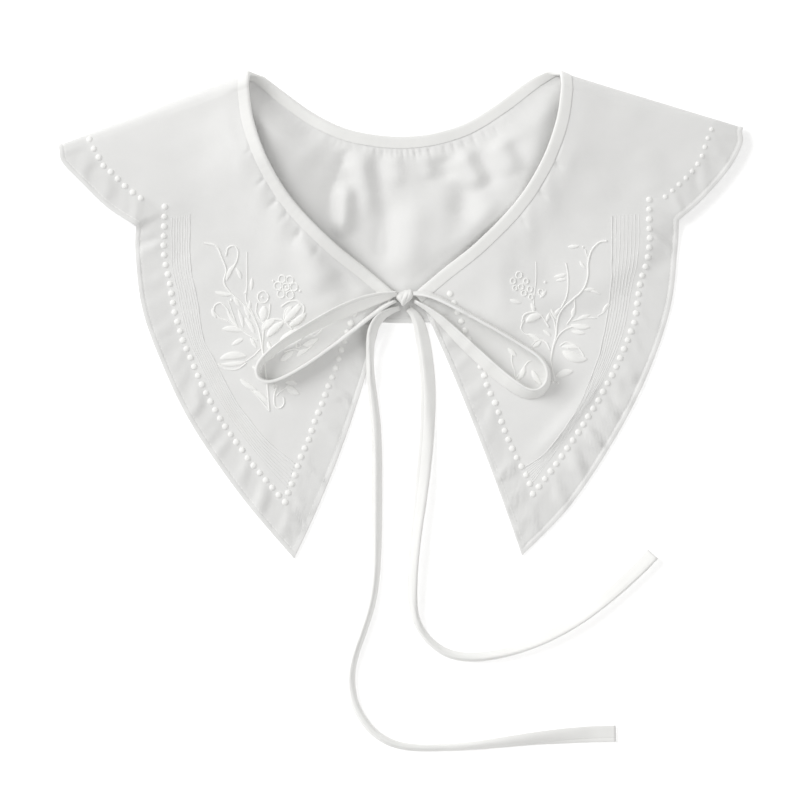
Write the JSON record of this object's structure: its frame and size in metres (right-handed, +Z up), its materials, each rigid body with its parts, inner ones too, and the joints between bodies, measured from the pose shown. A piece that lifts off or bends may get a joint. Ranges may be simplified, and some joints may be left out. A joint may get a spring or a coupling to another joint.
{
  "type": "detachable collar",
  "caption": "White cotton detachable collar laid flat: long pointed lapels, petals over the shoulders, gathered back, bound neck edge and a ribbon tied in a bow at the front.",
  "frame": {"origin": "on the table, under the middle of the collar's bounding box, its loose ribbon ends left out", "axes": "+X across the shoulders, to the right in the picture; +Y from the lapel tips to the back of the neck; +Z up from the table"},
  "size_m": [0.4114, 0.4106, 0.0196],
  "materials": {
    "white_cotton": "plain woven cotton, matt, washed white",
    "ivory_bias": "bias-cut cotton, matt, a shade warmer than the collar"
  },
  "bodies": {
    "root": {"collar_cloth": "white_cotton", "neck_binding": "ivory_bias", "bow_knot": "ivory_bias", "bow_loop_left": "ivory_bias", "bow_loop_right": "ivory_bias", "tie_tail_left": "ivory_bias", "tie_tail_right": "ivory_bias"}
  },
  "joints": []
}
